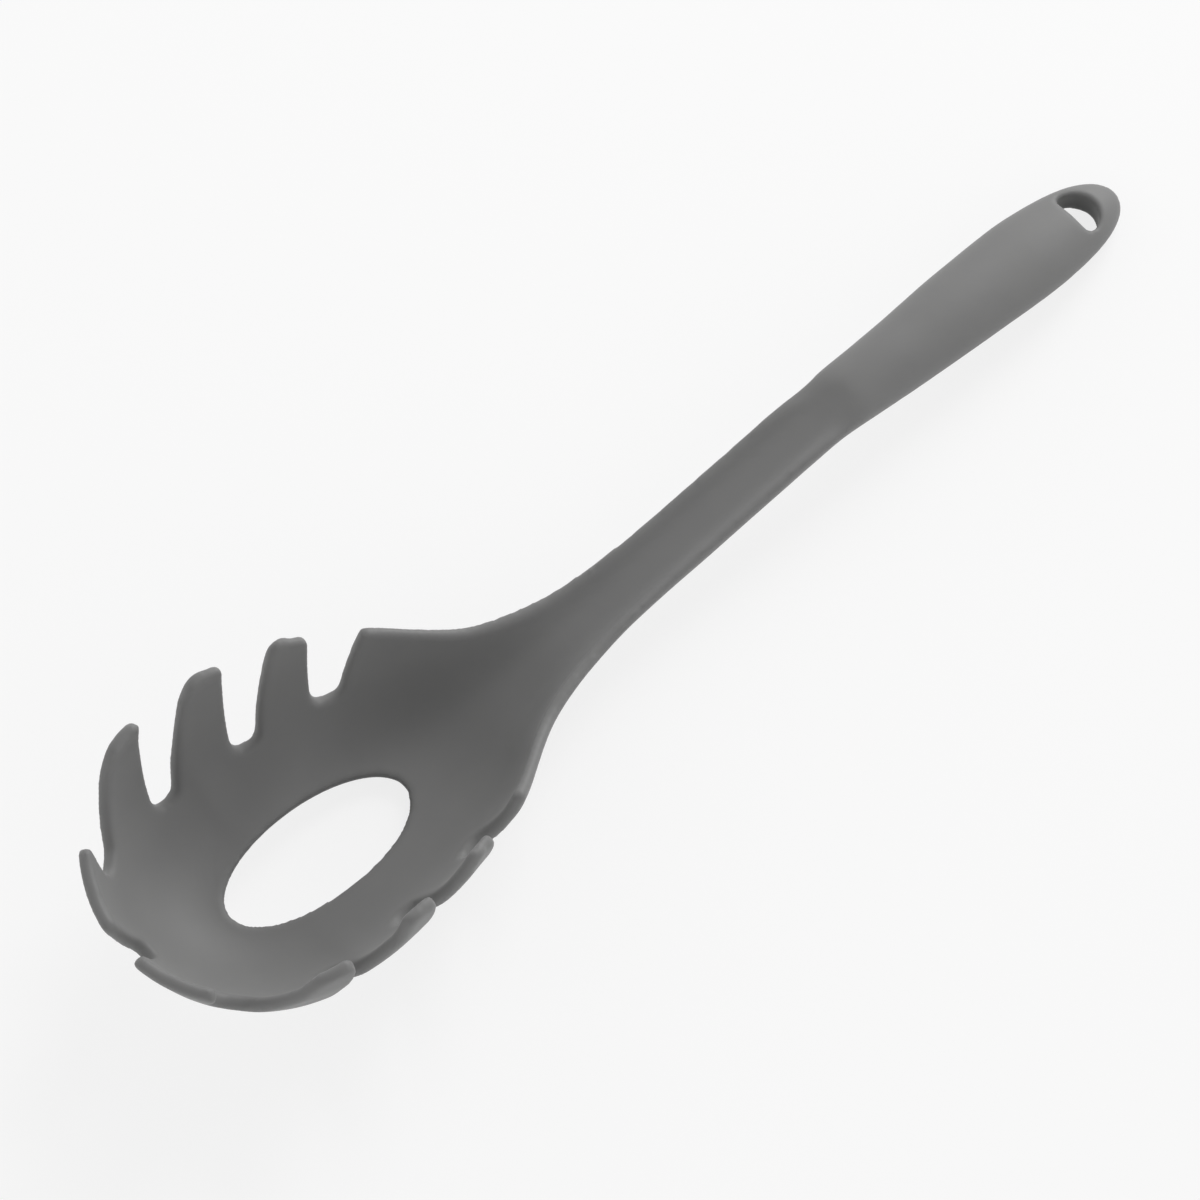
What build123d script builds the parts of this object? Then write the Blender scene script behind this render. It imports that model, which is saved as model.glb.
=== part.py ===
from build123d import *
from math import acos, ceil, cos, degrees, pi, radians, sin
import os

# Pasta server: an open toothed bowl with a drain hole, a channelled neck and shaft, and a crowned grip.
# A seamless silicone cover is moulded over a glass-filled nylon head core and a stamped steel spine.
# While it is drawn, the bowl's floor is level at z = 0, its middle is at x = 0 and x runs to the handle.
# At the end the whole tool is tipped to the way it lies on a table, on its bowl and the end of its grip.

# Bowl
bowl_radius = 36.8
bowl_depth = 31.0
rim_height = 30.8
floor_half_width = 8.0
under_half_width = 10.5
wall = 3.0
wall_fullness = 2.1
curve_steps = 6

# Neck and shaft
neck_run = 118.0
shaft_rise = 18.6
shaft_half_width = 8.1
shaft_depth = 7.7
channel_half_width = 6.1
channel_depth = 1.9
channel_round = 2.4
shaft_run = 46.0
shaft_climb = 8.0

# Grip
grip_run = 97.2
grip_half_width = 11.15
grip_depth = 10.6
grip_height = 21.7
crown_steps = 8

# Drain hole in the bowl's floor
drain_setback = 14.0
drain_half_length = 24.6
drain_half_width = 11.45
drain_flare = 1.6

# Gaps between the teeth
gap_half_width = 3.0
gap_depth = 25.0
gap_foot_round_share = 0.75
tip_round = 2.6
tip_margin = 0.6
gap_reach = 8.0

# Hang slot in the end of the grip
slot_half_width = 6.0
slot_length = 7.2
slot_end_margin = 7.6
slot_corner = 1.6

# Cores under the silicone skin
skin = 0.8
core_rim_drop = 2.6
core_gap_margin = 1.4
core_run = 102.0
spine_half_width = 4.0
spine_thickness = 1.2
spine_lap = 16.0
spine_end_margin = 20.0
lock_hole_length = 9.0
lock_hole_width = 3.2
lock_hole_pitch = 24.0

overrun = 12.0
station_pitch = 6.0
end_steps = 6
tilt_steps = 40

# Neck stations, from the bowl's middle to the shaft: the place along the neck's run, then shares of
# the half width between channel and bowl, of the wall's full height, of the floor's climb, of the
# rim's height between shaft and bowl, of the floor's half width, of the lip's width and of the belly.
neck_shares = (
    (0.000, 1.000, 1.000, 0.000, 1.000, 1.000, 1.00, 0.00),
    (0.085, 0.993, 1.016, 0.000, 0.984, 1.000, 1.00, 0.00),
    (0.186, 0.954, 1.070, 0.000, 0.885, 1.000, 1.00, 0.00),
    (0.288, 0.869, 1.070, 0.000, 0.713, 0.950, 1.00, 0.00),
    (0.373, 0.770, 1.000, 0.018, 0.393, 0.875, 1.00, 0.00),
    (0.458, 0.613, 0.825, 0.096, 0.090, 0.750, 1.00, 0.00),
    (0.542, 0.390, 0.615, 0.263, -0.180, 0.575, 1.00, 0.04),
    (0.627, 0.207, 0.370, 0.431, -0.336, 0.425, 0.85, 0.14),
    (0.729, 0.085, 0.126, 0.635, -0.336, 0.300, 0.55, 0.29),
    (0.864, 0.016, 0.021, 0.820, -0.189, 0.250, 0.10, 0.57),
    (1.000, 0.000, 0.000, 1.000, 0.000, 0.250, 0.00, 1.00),
)

# Shaft stations: the place along its run, then shares of its climb and of the channel's depth.
shaft_shares = ((0.52, 0.55, 0.90), (1.00, 1.00, 0.42))
shaft_flat_share = 0.25

# Grip stations: the place along its run, then shares of its half width, of its depth, of the
# sides' height in that depth and of the height of its underside.
grip_shares = (
    (0.110, 0.765, 0.89, 0.66, 0.940),
    (0.270, 0.836, 0.99, 0.50, 0.950),
    (0.480, 0.944, 1.01, 0.50, 0.985),
    (0.690, 1.000, 0.99, 0.50, 1.000),
    (0.830, 0.906, 0.90, 0.49, 1.010),
    (0.900, 0.775, 0.78, 0.48, 1.035),
    (0.950, 0.600, 0.61, 0.48, 1.065),
    (0.980, 0.410, 0.42, 0.47, 1.105),
    (0.993, 0.260, 0.28, 0.46, 1.135),
    (1.000, 0.120, 0.16, 0.46, 1.165),
)
grip_flat_share = 0.25
end_run_share = 0.12

# The rim of the front half: the place ahead of the bowl's middle and the height, as shares of the
# bowl's radius and of the rim's height.
front_rim_shares = (
    (0.00, 1.01),
    (0.25, 0.99),
    (0.57, 0.925),
    (0.87, 0.84),
    (1.09, 0.785),
    (1.30, 0.75),
)

# The gaps on one side, from the front: the cut's bearing and its fall in degrees, then its foot behind
# the bowl's middle, beside it and above the floor, as shares of the radius and the depth, the foot's
# width, the height and reach of the mouth's two edges as shares of the gap's depth, and their rounding.
gap_shares = (
    (0.0, 27.0, -0.853, 0.000, 0.390, 0.75, 0.580, -0.188, 0.580, 0.188, 1.0, 1.0),
    (46.0, 22.0, -0.712, 0.549, 0.474, 1.37, 0.500, -0.012, 0.608, 0.848, 0.8, 1.6),
    (84.0, 26.0, -0.174, 0.731, 0.258, 1.15, 0.990, 0.160, 0.985, 0.712, 0.8, 1.9),
    (98.0, 27.0, 0.429, 0.717, 0.255, 1.12, 0.972, 0.064, 0.904, 0.548, 0.8, 1.9),
    (104.0, 27.0, 1.000, 0.628, 0.284, 1.23, 0.768, 0.000, 0.612, 0.524, 0.8, 1.3),
)

grip_start = neck_run + shaft_run
tool_end = grip_start + grip_run


def between(low, high, share):
    return low + (high - low) * share


def neck_rows():
    # The place, floor half width, channel half width, lip, floor, belly, full height and rim.
    rows = []
    for place, width, height, climb, rim, flat, lip, belly in neck_shares:
        rows.append((
            neck_run * place,
            floor_half_width * flat,
            between(channel_half_width, bowl_radius, width),
            between(shaft_half_width - channel_half_width, wall, lip),
            (shaft_rise - channel_depth) * climb,
            between(wall, shaft_depth - channel_depth, belly),
            between(channel_round, bowl_depth, height),
            between(shaft_rise, rim_height, rim),
        ))
    for place, climb, depth in shaft_shares:
        rim = shaft_rise + shaft_climb * climb
        rows.append((
            neck_run + shaft_run * place,
            floor_half_width * shaft_flat_share,
            channel_half_width,
            shaft_half_width - channel_half_width,
            rim - channel_depth * depth,
            shaft_depth - channel_depth * depth,
            channel_round,
            rim,
        ))
    return rows


def grip_rows():
    # The place, half width, underside, side height and depth.
    rows = []
    for place, width, depth, side, height in grip_shares:
        deep = grip_depth * depth
        bottom = grip_height * height
        rows.append((grip_start + grip_run * place, grip_half_width * width, bottom, deep * side, deep))
    return rows


def outer_rows(inset, drop):
    # The outer surface moved in by inset, with its rim lowered by drop: the place, floor half
    # width, half width, bottom, full height of the side, shoulder and crown.
    neck = []
    for x, flat, half, lip, floor, belly, height, rim in neck_rows():
        under = flat * under_half_width / floor_half_width
        bottom = floor - belly + inset
        neck.append((x, under, half + lip - inset, bottom, height + belly - inset, rim - drop, 0))
    grip = [
        (x, half * grip_flat_share, half, bottom, side, bottom + side, deep - side)
        for x, half, bottom, side, deep in grip_rows()
    ]
    return neck, grip


def inner_rows(outset):
    # The inner surface moved out by outset, up to where its walls stand upright.
    rows = []
    for x, flat, half, lip, floor, belly, height, rim in neck_rows():
        rows.append((x, flat, half + outset, floor - outset, height + outset, floor + height, 0))
    x, half, bottom, side, deep = grip_rows()[0]
    crest = bottom + deep + outset
    rows.append((x,) + rows[-1][1:3] + (crest, rows[-1][4], crest + rows[-1][4], 0))
    return rows


def slopes(places, values):
    # The slope of a smooth curve at each of its points, level wherever the values turn back.
    rates = [(v - u) / (b - a) for a, b, u, v in zip(places, places[1:], values, values[1:])]
    middle = [2 * p * q / (p + q) if p * q > 0 else 0 for p, q in zip(rates, rates[1:])]
    return [rates[0]] + middle + [rates[-1]]


def smooth_rows(rows, places):
    # The rows of measures along the tool, read between its stations on smooth curves.
    columns = list(zip(*rows))
    stations = columns[0]
    result = [[x] for x in places]
    for values in columns[1:]:
        rates = slopes(stations, values)
        for row in result:
            n = max(i for i in range(len(stations) - 1) if stations[i] <= row[0] or i == 0)
            gap = stations[n + 1] - stations[n]
            t = (row[0] - stations[n]) / gap
            near = (1 + 2 * t) * (1 - t) ** 2 * values[n] + t * (1 - t) ** 2 * gap * rates[n]
            far = t * t * (3 - 2 * t) * values[n + 1] - t * t * (1 - t) * gap * rates[n + 1]
            row.append(near + far)
    return result


def steps(start, end, pitch):
    # Even places from start to end, no further apart than pitch.
    count = ceil((end - start) / pitch)
    return [start + (end - start) * i / count for i in range(count + 1)]


def side_curve(flat, half, height, top):
    # A wall's half profile as (out, up) points, from the edge of the flat floor to the rim, and
    # its direction there.
    power = 2 / wall_fullness
    last = acos(max(0, 1 - top / height) ** (1 / power))
    turns = [last * step / curve_steps for step in range(curve_steps + 1)]
    points = [(flat + (half - flat) * sin(t) ** power, height * (1 - cos(t) ** power)) for t in turns]
    lean = (half - flat) * sin(last) ** (power - 1) * cos(last) ** (2 - power)
    return points, (lean, height * sin(last))


def side_edges(x, flat, half, bottom, height, shoulder):
    # The right and left walls of a cross-section, each drawn upward from the floor.
    points, lean = side_curve(flat, half, height, shoulder - bottom)
    edges = []
    for hand in (-1, 1):
        through = [(x, hand * out, bottom + up) for out, up in points]
        edges.append(Edge.make_spline(through, tangents=[(0, hand, 0), (0, hand * lean[0], lean[1])]))
    return edges


def section(x, flat, half, bottom, height, shoulder, crown):
    # One closed cross-section: floor, right wall, top and left wall.
    right, left = side_edges(x, flat, half, bottom, height, shoulder)
    lip = left.position_at(1)
    turns = [pi * step / crown_steps for step in range(crown_steps + 1)]
    over = [(x, -lip.Y * cos(t), lip.Z + crown * sin(t)) for t in turns]
    floor = Edge.make_line(left.position_at(0), right.position_at(0))
    return Wire([floor, right, Edge.make_spline(over), left])


def front_half(flat, half, bottom, height, shoulder):
    # The bowl's round front: the profile at the bowl's middle turned through half a turn.
    left = side_edges(0, flat, half, bottom, height, shoulder)[1]
    foot = left.position_at(0)
    lip = left.position_at(1)
    base = Vector(0, 0, bottom)
    crest = Vector(0, 0, lip.Z)
    outline = [Edge.make_line(base, foot), left, Edge.make_line(lip, crest), Edge.make_line(crest, base)]
    return revolve(Face(Wire(outline)), Axis.Z, 180)


def body(rows, places):
    # A solid through the cross-sections at the places, with the bowl's round front.
    rear = Solid.make_loft([section(*row) for row in smooth_rows(rows, places)])
    return front_half(*rows[0][1:6]) + rear


def rim_cut(drop):
    # All that stands above the rim of the bowl's front half, seen from the side.
    points = [(-bowl_radius * place, 0, rim_height * share - drop) for place, share in front_rim_shares]
    above = bowl_depth + overrun
    line = Edge.make_spline(points)
    corners = [points[-1], (points[-1][0], 0, above), (0, 0, above), points[0]]
    sides = [Edge.make_line(a, b) for a, b in zip(corners, corners[1:])]
    return extrude(Face(Wire([line] + sides)), amount=bowl_radius + overrun, dir=(0, 1, 0), both=True)


def gap_cut(shares, margin):
    # A gap's cut through the wall, square to it halfway up, with a round foot and rounded tooth corners.
    bearing, fall, along, beside, up, foot, front_up, front_reach, back_up, back_reach = shares[:10]
    out = Vector(-cos(radians(bearing)), sin(radians(bearing)), 0)
    across = Vector(sin(radians(bearing)), cos(radians(bearing)), 0)
    inward = Vector(0, 0, sin(radians(fall))) - out * cos(radians(fall))
    origin = (bowl_radius * along, bowl_radius * beside, bowl_depth * up)
    plane = Plane(origin=origin, x_dir=across, z_dir=inward)
    half = gap_half_width * foot + margin
    front = (gap_depth * front_reach - margin, gap_depth * front_up)
    back = (gap_depth * back_reach + margin, gap_depth * back_up)
    front_round, back_round = [tip_round * share for share in shares[10:]]
    above = gap_depth + overrun
    feet = [(-half, -margin), (half, -margin)]
    points = feet + [
        back,
        (back[0] + back_round + back_round, back[1] + tip_margin),
        (back[0] + back_round + back_round, above),
        (front[0] - front_round - front_round, above),
        (front[0] - front_round - front_round, front[1] + tip_margin),
        front,
    ]
    outline = make_face(Polyline(points + points[:1]))
    feet_corners = [outline.vertices().sort_by_distance(foot)[0] for foot in feet]
    outline = fillet(feet_corners, half * gap_foot_round_share)
    for tip, radius in ((front, front_round), (back, back_round)):
        outline = fillet(outline.vertices().sort_by_distance(tip)[0], radius)
    return extrude(plane * outline, amount=gap_reach, both=True)


def gap_cuts(margin):
    # All the gaps, those beside the front one mirrored to the other side.
    cuts = [gap_cut(shares, margin) for shares in gap_shares]
    return cuts + [mirror(cut, about=Plane.XZ) for cut in cuts[1:]]


def drain(margin):
    # The oval hole through the bowl's floor, wider towards the underside.
    oval = Ellipse(drain_half_length + margin, drain_half_width + margin)
    mouth = Ellipse(drain_half_length + margin + drain_flare, drain_half_width + margin + drain_flare)
    flare = loft([oval, Pos(0, 0, -wall) * mouth])
    above = extrude(oval, amount=bowl_depth)
    below = extrude(Pos(0, 0, -wall) * mouth, amount=-overrun)
    return Pos(drain_setback, 0, 0) * (above + flare + below)


def hang_slot():
    # A half-moon hole through the grip, straight towards the head and round towards the end.
    tip = tool_end - slot_end_margin
    behind = Pos(tip - slot_length - tool_end / 2, 0) * Rectangle(tool_end, tool_end)
    moon = Pos(tip - slot_half_width, 0) * Circle(slot_half_width) - behind
    moon = fillet(moon.vertices().sort_by(Axis.X)[:2], slot_corner)
    return Pos(0, 0, grip_height) * extrude(moon, amount=grip_depth + overrun, both=True)


def head_core():
    # The nylon insert: the bowl, its teeth and the neck's root, a skin's depth under every surface.
    core = body(outer_rows(skin, core_rim_drop)[0], steps(0, neck_run, station_pitch))
    core -= body(inner_rows(skin)[:-1], steps(0, neck_run + shaft_run, station_pitch))
    core -= rim_cut(core_rim_drop)
    core -= [drain(core_gap_margin)] + gap_cuts(core_gap_margin)
    reach = bowl_radius + core_run
    keep = Pos(core_run - reach, 0, 0) * Box(reach + reach, reach + reach, reach + reach)
    return core & keep


def steel_spine():
    # The stamped strip along the middle of the neck, shaft and grip, with its row of lock holes.
    line = [(x, floor - belly / 2) for x, flat, half, lip, floor, belly, height, rim in neck_rows()]
    line += [(x, bottom + deep / 2) for x, half, bottom, side, deep in grip_rows()]
    start = core_run - spine_lap
    end = tool_end - spine_end_margin
    points = smooth_rows(line, steps(start, end, station_pitch))
    top = [(x, 0, z + spine_thickness / 2) for x, z in points]
    under = [(x, 0, z - spine_thickness / 2) for x, z in points]
    sides = [Edge.make_line(under[-1], top[-1]), Edge.make_line(under[0], top[0])]
    side_view = Face(Wire([Edge.make_spline(top), Edge.make_spline(under)] + sides))
    strip = extrude(side_view, amount=spine_half_width, dir=(0, 1, 0), both=True)
    hole = extrude(SlotOverall(lock_hole_length, lock_hole_width), amount=grip_height + grip_depth)
    count = int((end - start) / lock_hole_pitch)
    first = start + (end - start - lock_hole_pitch * (count - 1)) / 2
    return strip - [Pos(first + lock_hole_pitch * n, 0, 0) * hole for n in range(count)]


def rest_tilt(under):
    # How far the level tool tips, in radians, until its bowl and its grip both touch the table.
    least, most = 0, pi / 4
    for _ in range(tilt_steps):
        tilt = (least + most) / 2
        heights = [(x, z * cos(tilt) - x * sin(tilt)) for x, z in under]
        bowl_low = min(z for x, z in heights if x < neck_run)
        grip_low = min(z for x, z in heights if x > grip_start)
        least, most = (tilt, most) if grip_low > bowl_low else (least, tilt)
    return least


neck, grip = outer_rows(0, 0)
end_run = grip_run * end_run_share
places = steps(0, tool_end - end_run, station_pitch)[:-1]
places += [tool_end - end_run * (1 - sin(pi / 2 * i / end_steps)) for i in range(end_steps + 1)]
hull = body(neck + grip, places)
bore = inner_rows(0)
inside = body(bore, steps(0, bore[-1][0], station_pitch))

core = head_core()
spine = steel_spine()
core -= spine
cover = hull - inside - rim_cut(0)
cover -= gap_cuts(0) + [drain(0), hang_slot()]
cover -= [core, spine]

tilt = rest_tilt([(row[0], row[3]) for row in smooth_rows(neck + grip, places)])
tipped = Rot(0, degrees(tilt), 0)
box = (tipped * cover).bounding_box()
rest = Pos(-box.center().X, 0, -box.min.Z) * tipped
nodes = {"silicone_cover": cover, "head_core": core, "steel_spine": spine}

os.makedirs("parts", exist_ok=True)
for name, solid in nodes.items():
    export_step(rest * solid, f"parts/{name}.step")
print(f"tip {degrees(tilt):.4f} degrees, move {-box.center().X:.4f} {-box.min.Z:.4f} mm")
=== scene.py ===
# %% [markdown]
# # Pasta server
# One piece of grey silicone, from the teeth of the bowl to the hang slot in the grip. A nylon core and
# a steel strip are sealed inside it and never show. The solids come packed, at real size and lying as
# the tool lies on a table. This lesson gives them the soft edges and the finish that the moulded one has.

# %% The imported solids
from math import cos, radians, sin
import bmesh
import bpy
from mathutils import Matrix, Vector


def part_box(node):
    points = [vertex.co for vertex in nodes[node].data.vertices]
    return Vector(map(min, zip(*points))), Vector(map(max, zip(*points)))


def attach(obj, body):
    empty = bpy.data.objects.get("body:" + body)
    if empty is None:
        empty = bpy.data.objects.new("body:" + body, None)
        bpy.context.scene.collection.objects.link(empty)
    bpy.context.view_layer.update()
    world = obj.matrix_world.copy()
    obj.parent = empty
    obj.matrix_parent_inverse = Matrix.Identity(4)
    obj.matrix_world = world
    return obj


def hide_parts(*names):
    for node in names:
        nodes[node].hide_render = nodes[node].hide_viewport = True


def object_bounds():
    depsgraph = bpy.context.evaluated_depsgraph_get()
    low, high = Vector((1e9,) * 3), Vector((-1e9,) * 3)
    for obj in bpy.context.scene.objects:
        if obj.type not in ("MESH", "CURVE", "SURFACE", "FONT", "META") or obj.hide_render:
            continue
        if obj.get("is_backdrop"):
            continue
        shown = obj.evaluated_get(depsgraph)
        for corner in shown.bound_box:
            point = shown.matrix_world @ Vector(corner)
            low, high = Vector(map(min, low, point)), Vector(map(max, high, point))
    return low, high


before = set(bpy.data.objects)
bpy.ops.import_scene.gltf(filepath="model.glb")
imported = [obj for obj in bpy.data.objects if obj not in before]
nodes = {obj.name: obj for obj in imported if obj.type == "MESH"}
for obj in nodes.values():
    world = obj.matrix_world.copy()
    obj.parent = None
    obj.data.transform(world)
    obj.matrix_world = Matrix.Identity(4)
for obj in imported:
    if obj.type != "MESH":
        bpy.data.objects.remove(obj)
box_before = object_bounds()
for name in nodes:
    low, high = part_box(name)
    print(name, [round((b - a) * 1000, 1) for a, b in zip(low, high)], "mm")

# %% [markdown]
# ## Millimetres and colours
# The tool is drawn in millimetres and Blender works in metres, so one factor turns one into the other.
# Colours are picked as sRGB hex values, as in any paint program, and the shader wants them linear.

# %% Helpers for sizes and colours
mm = 0.001


def linear(hex_colour):
    # An sRGB hex colour as the linear red, green, blue and alpha that the shader wants.
    shares = [int(hex_colour[i:i + 2], 16) / 255 for i in (1, 3, 5)]
    return [v / 12.92 if v <= 0.04045 else ((v + 0.055) / 1.055) ** 2.4 for v in shares] + [1.0]


# %% [markdown]
# ## One way to add a node
# Geometry and shader trees are both made of nodes with settings and links, so one small function adds
# any of them: settings by name, and inputs by name or number, each a plain value or another's output.

# %% Helper for nodes
def add(tree, kind, settings={}, inputs={}):
    node = tree.nodes.new(kind)
    for key, value in settings.items():
        setattr(node, key, value)
    for key, value in inputs.items():
        if isinstance(value, bpy.types.NodeSocket):
            tree.links.new(value, node.inputs[key])
        else:
            node.inputs[key].default_value = value
    return node


# %% [markdown]
# ## The cover's outer skin
# The silicone solid is a shell: it has an outer skin, and an inner one against the core and the strip.
# Only the outer skin is ever seen. A copy of the solid's mesh is welded, since it comes as loose
# triangles, and of its separate skins the widest one is kept.

# %% Copy and weld the skin
weld = 0.002 * mm

shell = bmesh.new()
shell.from_mesh(nodes["silicone_cover"].data)
bmesh.ops.remove_doubles(shell, verts=shell.verts, dist=weld)


def skins(mesh):
    # The groups of points that edges join to each other.
    left = set(mesh.verts)
    while left:
        group, edge = set(), [left.pop()]
        while edge:
            point = edge.pop()
            group.add(point)
            for e in point.link_edges:
                other = e.other_vert(point)
                if other in left:
                    left.remove(other)
                    edge.append(other)
        yield group


groups = sorted(skins(shell), key=lambda g: max(v.co.x for v in g) - min(v.co.x for v in g))
inner = [v for g in groups[:-1] for v in g]
bmesh.ops.delete(shell, geom=inner, context="VERTS")
skin_mesh = bpy.data.meshes.new("cover skin")
shell.to_mesh(skin_mesh)
shell.free()
cover = bpy.data.objects.new("cover_skin", skin_mesh)
bpy.context.scene.collection.objects.link(cover)
print("skins", len(groups), "points kept", len(skin_mesh.vertices))

# %% [markdown]
# ## Moulded silicone
# Silicone rubber, cast against a finely blasted steel mould. The mould leaves a satin grain of about a
# quarter of a millimetre, and rubber takes up a faint film of dust, so the grey is a touch uneven and
# its gloss is broad and soft. Silicone bends light a little less than plastic, with an IOR near 1.41.

# %% Silicone material
silicone = bpy.data.materials.new("satin moulded silicone")
silicone.use_nodes = True
tree = silicone.node_tree
tree.nodes.clear()

silicone_grey = "#757575"
silicone_dusty = "#7d7d7c"
silicone_ior = 1.41
silicone_roughness = (0.50, 0.58)
dust_sheen = 0.08
mottle_size = 14 * mm
mottle_middle = (0.3, 0.7)
grain_size = 0.28 * mm
grain_height = 0.012 * mm
grain_strength = 0.35

place = add(tree, "ShaderNodeTexCoord").outputs["Object"]
mottle = add(tree, "ShaderNodeTexNoise", {}, {
    "Vector": place, "Scale": 1 / mottle_size, "Detail": 4.0, "Roughness": 0.55})
tint = add(tree, "ShaderNodeMix", {"data_type": "RGBA"}, {
    0: mottle.outputs[0], 6: linear(silicone_grey), 7: linear(silicone_dusty)})
gloss = add(tree, "ShaderNodeMapRange", {}, {
    0: mottle.outputs[0], 1: mottle_middle[0], 2: mottle_middle[1],
    3: silicone_roughness[0], 4: silicone_roughness[1]})
grain = add(tree, "ShaderNodeTexNoise", {}, {"Vector": place, "Scale": 1 / grain_size, "Detail": 2.0})
bump = add(tree, "ShaderNodeBump", {}, {
    "Strength": grain_strength, "Distance": grain_height, "Height": grain.outputs[0]})
rubber = add(tree, "ShaderNodeBsdfPrincipled", {}, {
    "Base Color": tint.outputs[2], "Roughness": gloss.outputs[0], "IOR": silicone_ior,
    "Sheen Weight": dust_sheen, "Sheen Roughness": 0.5, "Normal": bump.outputs[0]})
add(tree, "ShaderNodeOutputMaterial", {}, {0: rubber.outputs[0]})
print("silicone", silicone_grey, [round(v, 3) for v in linear(silicone_grey)[:3]])

# %% [markdown]
# ## Soft edges for the whole moulding
# No edge of a silicone moulding is sharp: each tooth, gap, lip and hole is rounded by about a
# millimetre. Bevelling hundreds of curved edges one by one would pinch. So a voxel remesh first turns
# the skin into small even squares, and a geometry node tree then lets each point drift to the middle
# of its neighbours a few times. That rounds the edges, but it also shrinks the tips a little, so the
# tree measures how far a second drift would go and gives most of that back. Squares on a sharp slanting
# edge leave it wavy, so this is done twice: finely first, and then coarser, once the edges are round.

# %% Geometry nodes: round every edge
keep_share = 0.8

soften = bpy.data.node_groups.new("Moulded edges", "GeometryNodeTree")
soften.interface.new_socket("Geometry", in_out="INPUT", socket_type="NodeSocketGeometry")
soften.interface.new_socket("Geometry", in_out="OUTPUT", socket_type="NodeSocketGeometry")
sockets = {}
for label, kind in (("Rounds", "Int"), ("Finish", "Material")):
    sockets[label] = soften.interface.new_socket(label, in_out="INPUT", socket_type="NodeSocket" + kind)

start = add(soften, "NodeGroupInput").outputs
spot = add(soften, "GeometryNodeInputPosition").outputs[0]


def drift(position):
    # Each point's place after it has drifted to the middle of its neighbours a few times.
    blur = add(soften, "GeometryNodeBlurAttribute", {"data_type": "FLOAT_VECTOR"}, {
        "Iterations": start["Rounds"]})
    soften.links.new(position, next(s for s in blur.inputs if s.enabled and s.type == "VECTOR"))
    return next(s for s in blur.outputs if s.enabled)


once = drift(spot)
twice = drift(once)
shrunk = add(soften, "ShaderNodeVectorMath", {"operation": "SUBTRACT"}, {0: once, 1: twice})
restored = add(soften, "ShaderNodeVectorMath", {"operation": "MULTIPLY_ADD"}, {
    0: shrunk.outputs[0], 1: (keep_share, keep_share, keep_share), 2: once})
eased = add(soften, "GeometryNodeSetPosition", {}, {
    "Geometry": start["Geometry"], "Position": restored.outputs[0]})
shaded = add(soften, "GeometryNodeSetShadeSmooth", {}, {"Geometry": eased.outputs[0]})
whole = add(soften, "GeometryNodeRealizeInstances", {}, {0: shaded.outputs[0]})
finished = add(soften, "GeometryNodeSetMaterial", {}, {
    "Geometry": whole.outputs[0], "Material": start["Finish"]})
add(soften, "NodeGroupOutput", {}, {"Geometry": finished.outputs[0]})

# %% Remesh the skin and run the tree on it
fine_cell = 0.36 * mm
fine_rounds = 24
cell = 0.63 * mm
rounds = 3

for size, times in ((fine_cell, fine_rounds), (cell, rounds)):
    even = cover.modifiers.new("Even squares", "REMESH")
    even.mode = "VOXEL"
    even.voxel_size = size
    modifier = cover.modifiers.new("Moulded edges", "NODES")
    modifier.node_group = soften
    modifier[sockets["Rounds"].identifier] = times
    modifier[sockets["Finish"].identifier] = silicone
ready = cover.evaluated_get(bpy.context.evaluated_depsgraph_get())
cover_mesh = bpy.data.meshes.new_from_object(ready)
cover.modifiers.clear()
cover.data = cover_mesh
cover.name = "moulded_cover"
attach(cover, "root")
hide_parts("silicone_cover")
print("cover triangles", sum(len(p.vertices) - 2 for p in cover_mesh.polygons))

# %% [markdown]
# ## The sealed core and strip
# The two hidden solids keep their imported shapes. Each still gets the finish that the real one has, in
# case someone takes the tool apart: glass-filled nylon is matt and nearly black, with fine pale specks
# of fibre, and the stamped stainless strip is rolled, with long fine scratches along it.

# %% Nylon and steel materials
nylon_grey = "#232426"
fibre_grey = "#4a4b4d"
fibre_size = 0.6 * mm
fibre_specks = (0.62, 0.74)
nylon_roughness = 0.62
nylon_ior = 1.53
steel_grey = "#c9c7c3"
scratch_size = 0.4 * mm
scratch_stretch = 40
scratch_middle = (0.3, 0.7)
steel_roughness = (0.26, 0.42)

nylon = bpy.data.materials.new("glass-filled nylon")
nylon.use_nodes = True
tree = nylon.node_tree
tree.nodes.clear()
place = add(tree, "ShaderNodeTexCoord").outputs["Object"]
fibre = add(tree, "ShaderNodeTexNoise", {}, {
    "Vector": place, "Scale": 1 / fibre_size, "Detail": 3.0})
speck = add(tree, "ShaderNodeMapRange", {}, {
    0: fibre.outputs[0], 1: fibre_specks[0], 2: fibre_specks[1]})
tint = add(tree, "ShaderNodeMix", {"data_type": "RGBA"}, {
    0: speck.outputs[0], 6: linear(nylon_grey), 7: linear(fibre_grey)})
body = add(tree, "ShaderNodeBsdfPrincipled", {}, {
    "Base Color": tint.outputs[2], "Roughness": nylon_roughness, "IOR": nylon_ior})
add(tree, "ShaderNodeOutputMaterial", {}, {0: body.outputs[0]})

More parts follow.
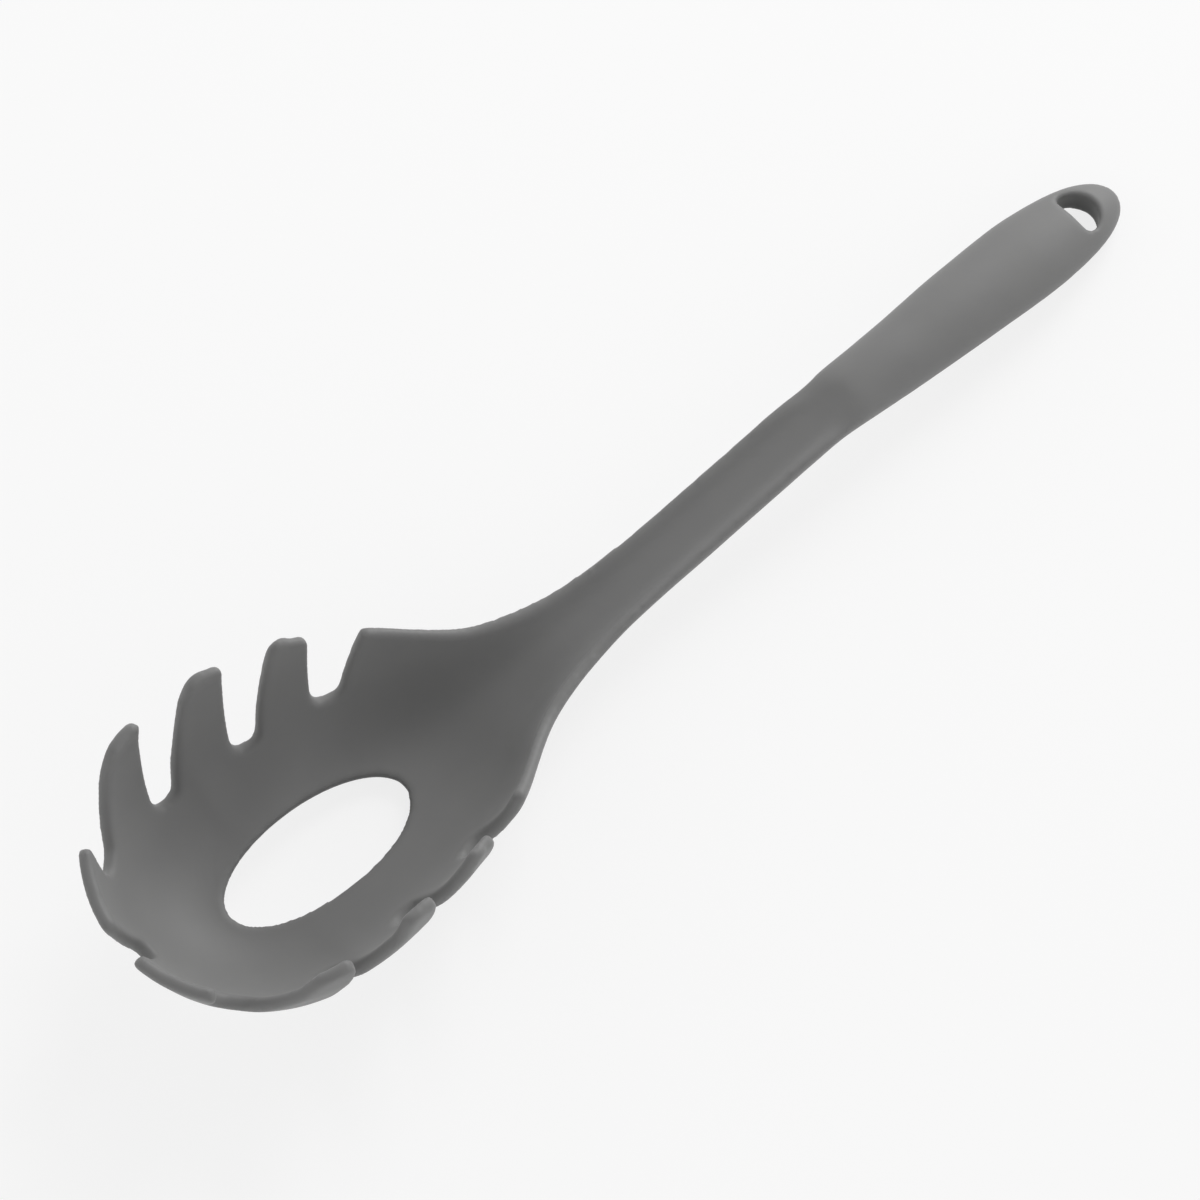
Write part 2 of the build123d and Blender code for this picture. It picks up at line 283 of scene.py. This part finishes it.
steel = bpy.data.materials.new("rolled stainless steel")
steel.use_nodes = True
tree = steel.node_tree
tree.nodes.clear()
place = add(tree, "ShaderNodeTexCoord").outputs["Object"]
along = add(tree, "ShaderNodeMapping", {"vector_type": "TEXTURE"}, {
    "Vector": place, "Scale": (scratch_stretch, 1, 1)})
scratch = add(tree, "ShaderNodeTexNoise", {}, {
    "Vector": along.outputs[0], "Scale": 1 / scratch_size, "Detail": 3.0})
gloss = add(tree, "ShaderNodeMapRange", {}, {
    0: scratch.outputs[0], 1: scratch_middle[0], 2: scratch_middle[1],
    3: steel_roughness[0], 4: steel_roughness[1]})
body = add(tree, "ShaderNodeBsdfPrincipled", {}, {
    "Base Color": linear(steel_grey), "Metallic": 1.0, "Roughness": gloss.outputs[0]})
add(tree, "ShaderNodeOutputMaterial", {}, {0: body.outputs[0]})

for name, finish in (("head_core", nylon), ("steel_spine", steel)):
    nodes[name].data.materials.clear()
    nodes[name].data.materials.append(finish)
    print(name, "is", finish.name)

# %% [markdown]
# ## The table
# The photograph shows the tool on plain white. A wide matt floor lies at the height the tool rests on.
# To the camera most of its white is its own, so it stays white also through the drain hole, while
# enough of it is lit paint to keep a soft shadow under the bowl. A surface that mirrors the floor, or a
# ray that passes through a clear one, has to find the same white, so those rays count as a view too.

# %% Floor
floor_size = 6.0
shadow_share = 0.2
paint_white = "#fbfbfb"
pure_white = "#ffffff"


def in_view(tree):
    # 1 for rays from the camera, mirrored rays and rays let through, 0 for the rest.
    rays = add(tree, "ShaderNodeLightPath").outputs
    either = add(tree, "ShaderNodeMath", {"operation": "MAXIMUM"}, {
        0: rays["Is Camera Ray"], 1: rays["Is Glossy Ray"]})
    return add(tree, "ShaderNodeMath", {"operation": "MAXIMUM"}, {
        0: either.outputs[0], 1: rays["Is Transmission Ray"]}).outputs[0]


corners = [(floor_size * x, floor_size * y, 0) for x, y in ((-1, -1), (1, -1), (1, 1), (-1, 1))]
floor_mesh = bpy.data.meshes.new("floor")
floor_mesh.from_pydata(corners, [], [(0, 1, 2, 3)])
floor = bpy.data.objects.new("floor", floor_mesh)
bpy.context.scene.collection.objects.link(floor)

white = bpy.data.materials.new("white table paint")
white.use_nodes = True
tree = white.node_tree
tree.nodes.clear()
paint = add(tree, "ShaderNodeBsdfDiffuse", {}, {"Color": linear(paint_white)})
glow = add(tree, "ShaderNodeEmission", {}, {"Color": linear(pure_white), "Strength": 1.0})
share = add(tree, "ShaderNodeMath", {"operation": "MULTIPLY"}, {0: in_view(tree), 1: 1 - shadow_share})
mixed = add(tree, "ShaderNodeMixShader", {}, {
    0: share.outputs[0], 1: paint.outputs[0], 2: glow.outputs[0]})
add(tree, "ShaderNodeOutputMaterial", {}, {0: mixed.outputs[0]})
floor_mesh.materials.append(white)
floor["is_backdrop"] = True

# %% [markdown]
# ## The light
# The greys in the photograph follow how much of a white studio each face can see. The grip's crown and
# the outer faces of the teeth see the bright walls of the studio, and the inside of the bowl sees mostly
# the dark part overhead. So the light is a white world that grows brighter from the zenith down to the
# horizon, and one broad soft lamp beyond the grip, which leaves the inner faces of the teeth in shade.

# %% World and lamp
zenith = 0.05
horizon = 2.2
fall_off = 1.6
lamp_size = 0.9
lamp_energy = 12
lamp_place = (1.2, 0.5, 0.75)

world = bpy.data.worlds.new("white studio")
bpy.context.scene.world = world
world.use_nodes = True
tree = world.node_tree
tree.nodes.clear()
aim = add(tree, "ShaderNodeSeparateXYZ", {}, {0: add(tree, "ShaderNodeTexCoord").outputs["Generated"]})
height = add(tree, "ShaderNodeMath", {"operation": "ABSOLUTE"}, {0: aim.outputs["Z"]})
low = add(tree, "ShaderNodeMath", {"operation": "SUBTRACT"}, {0: 1.0, 1: height.outputs[0]})
curve = add(tree, "ShaderNodeMath", {"operation": "POWER"}, {0: low.outputs[0], 1: fall_off})
level = add(tree, "ShaderNodeMapRange", {}, {0: curve.outputs[0], 3: zenith, 4: horizon})
strength = add(tree, "ShaderNodeMix", {"data_type": "FLOAT"}, {
    0: in_view(tree), 2: level.outputs[0], 3: 1.0})
sky = add(tree, "ShaderNodeBackground", {}, {
    "Color": linear(pure_white), "Strength": strength.outputs[0]})
add(tree, "ShaderNodeOutputWorld", {}, {0: sky.outputs[0]})

lamp_data = bpy.data.lights.new("soft lamp", "AREA")
lamp_data.shape = "DISK"
lamp_data.size = lamp_size
lamp_data.energy = lamp_energy
lamp = bpy.data.objects.new("soft_lamp", lamp_data)
bpy.context.scene.collection.objects.link(lamp)
lamp.location = lamp_place
lamp.rotation_euler = (Vector((0, 0, 0)) - lamp.location).to_track_quat("-Z", "Y").to_euler()
lamp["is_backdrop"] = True

# %% [markdown]
# ## The camera
# The camera's place was found by fitting the tool's outline to the photograph: it looks down at about
# 61 degrees, with the grip running away to the upper right. The fit was made with the bowl's floor
# level, so the same tip and shift that lay the tool on the table are applied to the camera too.

# %% Camera
turn = radians(40.899)
rise = radians(60.814)
distance = 850 * mm
shift_right = 63.577 * mm
shift_up = 56.227 * mm
picture_scale = 4.441
picture_width = 1200
sensor = 36.0
clip_end = 20

right = Vector((cos(turn), -sin(turn), 0))
up = Vector((sin(turn) * sin(rise), cos(turn) * sin(rise), cos(rise)))
back = right.cross(up)
spot = right * shift_right + up * shift_up + back * distance

tool_tip = radians(6.9443)
tool_shift = (-113.2725 * mm, 0, 8.1380 * mm)
drain_setback = 14.0 * mm
tip = Matrix.Rotation(tool_tip, 4, "Y")
lay = Matrix.Translation(tool_shift) @ tip
axes = [tip.to_3x3() @ v for v in (right, up, back)]
camera_data = bpy.data.cameras.new("camera")
camera_data.sensor_width = sensor
camera_data.lens = sensor * picture_scale * (distance / mm) / picture_width
camera_data.clip_end = clip_end
camera = bpy.data.objects.new("camera", camera_data)
bpy.context.scene.collection.objects.link(camera)
place = lay @ (spot + Vector((drain_setback, 0, 0)))
facing = Matrix([[a[i] for a in axes] for i in range(3)]).to_4x4()
camera.matrix_world = Matrix.Translation(place) @ facing
bpy.context.scene.camera = camera
bpy.context.scene.view_settings.view_transform = "Standard"
print("lens", round(camera_data.lens, 1), "mm, camera at", [round(v, 3) for v in place])

# %% Sizes before and after
box_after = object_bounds()
sizes = {"before": box_before, "after": box_after}
{when: [list(map(float, v)) for v in box] for when, box in sizes.items()}
print("box before", box_before, "after", box_after)
